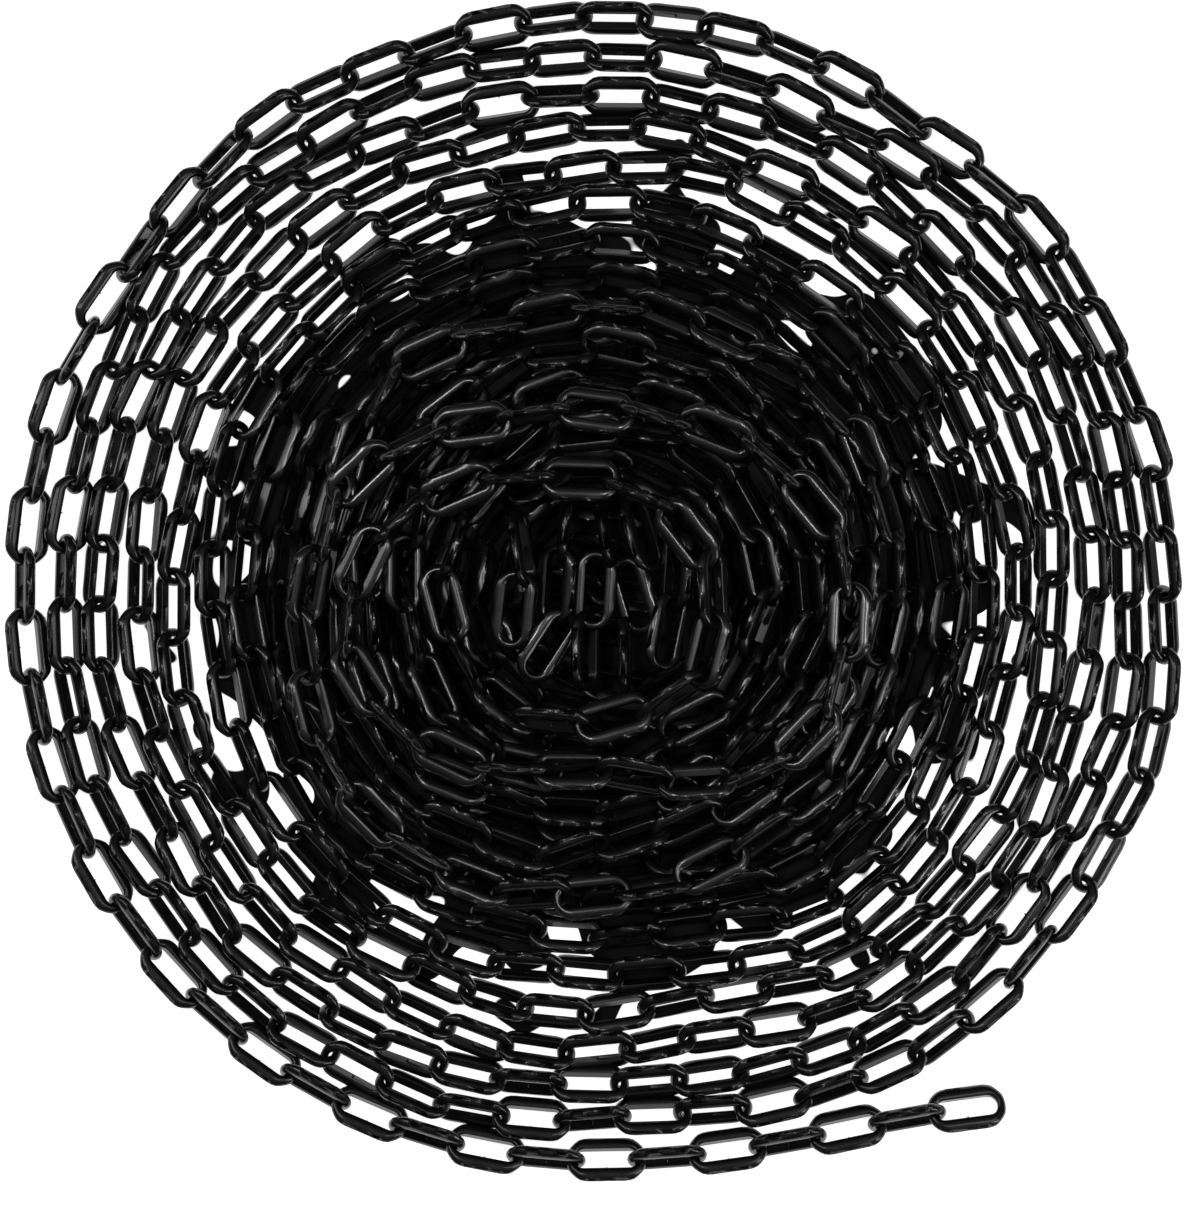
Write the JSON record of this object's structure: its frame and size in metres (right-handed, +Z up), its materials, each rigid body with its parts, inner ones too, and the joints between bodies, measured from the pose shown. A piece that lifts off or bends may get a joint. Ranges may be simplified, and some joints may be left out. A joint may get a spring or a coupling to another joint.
{
  "type": "heap of plastic barrier chain",
  "caption": "Black plastic barrier chain of interlocked oval links, wound flat in a spiral and heaped on itself in the middle, with its free end lying outside the coil.",
  "frame": {"origin": "middle of the heap's footprint, on the floor it lies on", "axes": "+Z up, +X to the side where the free end points, +Y away from the free end's side of the coil"},
  "size_m": [0.7655, 0.7671, 0.08],
  "materials": {
    "chain_plastic": "satin black, as moulded"
  },
  "bodies": {
    "root": {"floor_run_01": "chain_plastic", "floor_run_02": "chain_plastic", "floor_run_03": "chain_plastic", "floor_run_04": "chain_plastic", "floor_run_05": "chain_plastic", "floor_run_06": "chain_plastic", "floor_run_07": "chain_plastic", "floor_run_08": "chain_plastic", "floor_run_09": "chain_plastic", "floor_run_10": "chain_plastic", "floor_run_11": "chain_plastic", "floor_run_12": "chain_plastic", "floor_run_13": "chain_plastic", "floor_run_14": "chain_plastic", "floor_run_15": "chain_plastic", "floor_run_16": "chain_plastic", "floor_run_17": "chain_plastic", "floor_run_18": "chain_plastic", "heap_run_01": "chain_plastic", "heap_run_02": "chain_plastic", "heap_run_03": "chain_plastic", "heap_run_04": "chain_plastic", "heap_run_05": "chain_plastic", "heap_run_06": "chain_plastic", "hidden_chain_core": "chain_plastic", "link_01": "chain_plastic", "link_02": "chain_plastic", "link_03": "chain_plastic", "link_04": "chain_plastic", "link_05": "chain_plastic", "link_06": "chain_plastic", "link_07": "chain_plastic", "link_08": "chain_plastic", "link_09": "chain_plastic", "link_10": "chain_plastic", "link_11": "chain_plastic", "link_12": "chain_plastic", "link_13": "chain_plastic", "link_14": "chain_plastic", "link_15": "chain_plastic", "link_16": "chain_plastic", "link_17": "chain_plastic", "link_18": "chain_plastic", "link_19": "chain_plastic", "link_20": "chain_plastic", "link_21": "chain_plastic", "link_22": "chain_plastic", "link_23": "chain_plastic", "link_24": "chain_plastic", "link_25": "chain_plastic", "middle_run_1": "chain_plastic", "middle_run_2": "chain_plastic", "middle_run_3": "chain_plastic", "middle_run_4": "chain_plastic", "middle_run_5": "chain_plastic", "top_run_01": "chain_plastic", "top_run_02": "chain_plastic", "top_run_03": "chain_plastic", "top_run_04": "chain_plastic"}
  },
  "joints": []
}
